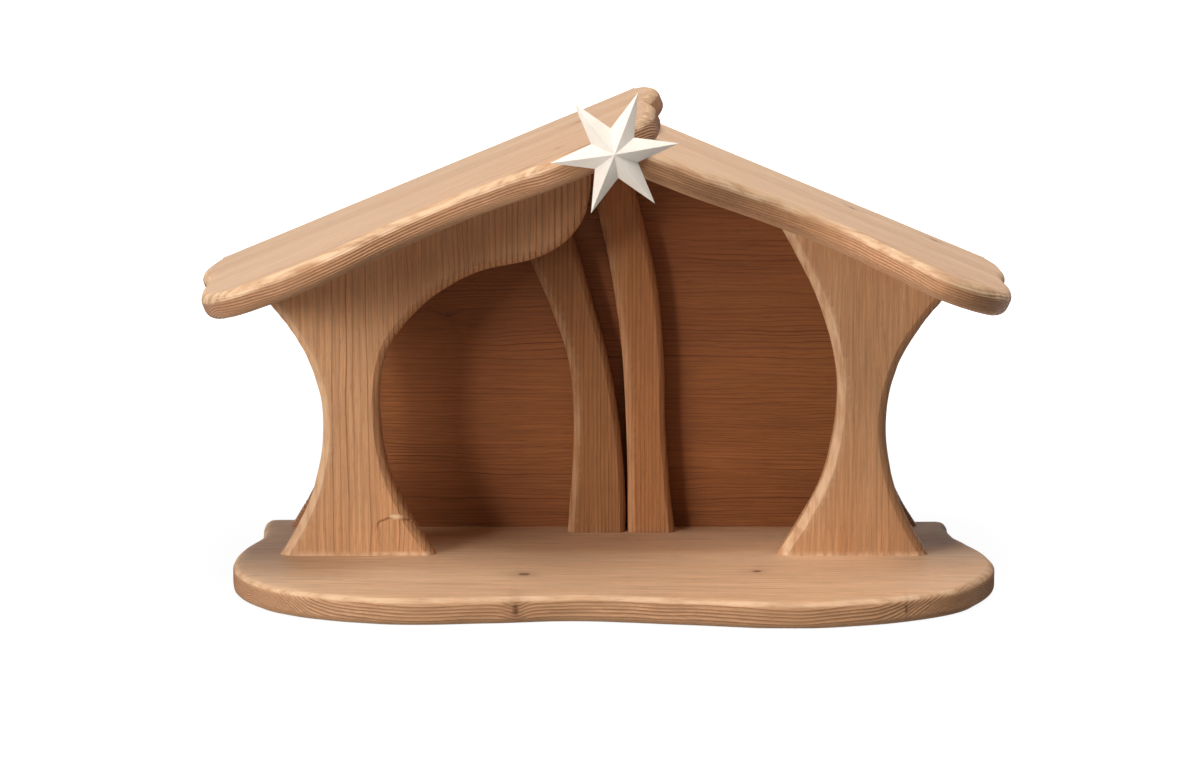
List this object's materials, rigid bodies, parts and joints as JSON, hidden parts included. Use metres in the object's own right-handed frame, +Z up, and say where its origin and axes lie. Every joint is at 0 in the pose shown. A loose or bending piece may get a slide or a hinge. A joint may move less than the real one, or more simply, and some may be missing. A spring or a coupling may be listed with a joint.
{
  "type": "nativity stable",
  "caption": "Open-fronted wooden stable with curved side panels, S-shaped inner posts, a back wall, overlapping roof boards and a pinned star at the ridge.",
  "frame": {"origin": "on the underside of the base board, below the ridge line and half way between the base's front and back reach", "axes": "+X to the right as seen from the open front, +Y towards the back wall, +Z up"},
  "size_m": [0.3641, 0.1643, 0.2289],
  "materials": {
    "base": "brushed and stained softwood, satin wax",
    "panel_wood": "brushed and stained softwood, satin wax",
    "post_wood": "brushed and stained softwood, satin wax",
    "wall_wood": "brushed and stained softwood, satin wax",
    "roof_wood": "brushed and stained softwood, satin wax",
    "dowel_wood": "plain beech",
    "pin_steel": "plain drawn wire",
    "star_paint": "carved wood, painted matt off-white"
  },
  "bodies": {
    "stable": {"base_board": "base", "front_panel_left": "panel_wood", "front_panel_right": "panel_wood", "inner_post_left": "post_wood", "inner_post_right": "post_wood", "back_wall": "wall_wood", "roof_board_left": "roof_wood", "roof_board_right": "roof_wood", "base_dowels": "dowel_wood", "roof_dowels": "dowel_wood", "ridge_dowels": "dowel_wood"},
    "pin": {"star_pin": "pin_steel"},
    "star": {"star": "star_paint"}
  },
  "joints": [
    {"name": "star_pull", "type": "slide", "parent": "stable", "child": "pin", "axis": [0, -1, 0], "range_m": [0, 0.01]},
    {"name": "star_turn", "type": "hinge", "parent": "pin", "child": "star", "pos_m": [0.00393, -0.083, 0.20396], "axis": [0, -1, 0], "continuous": true}
  ]
}
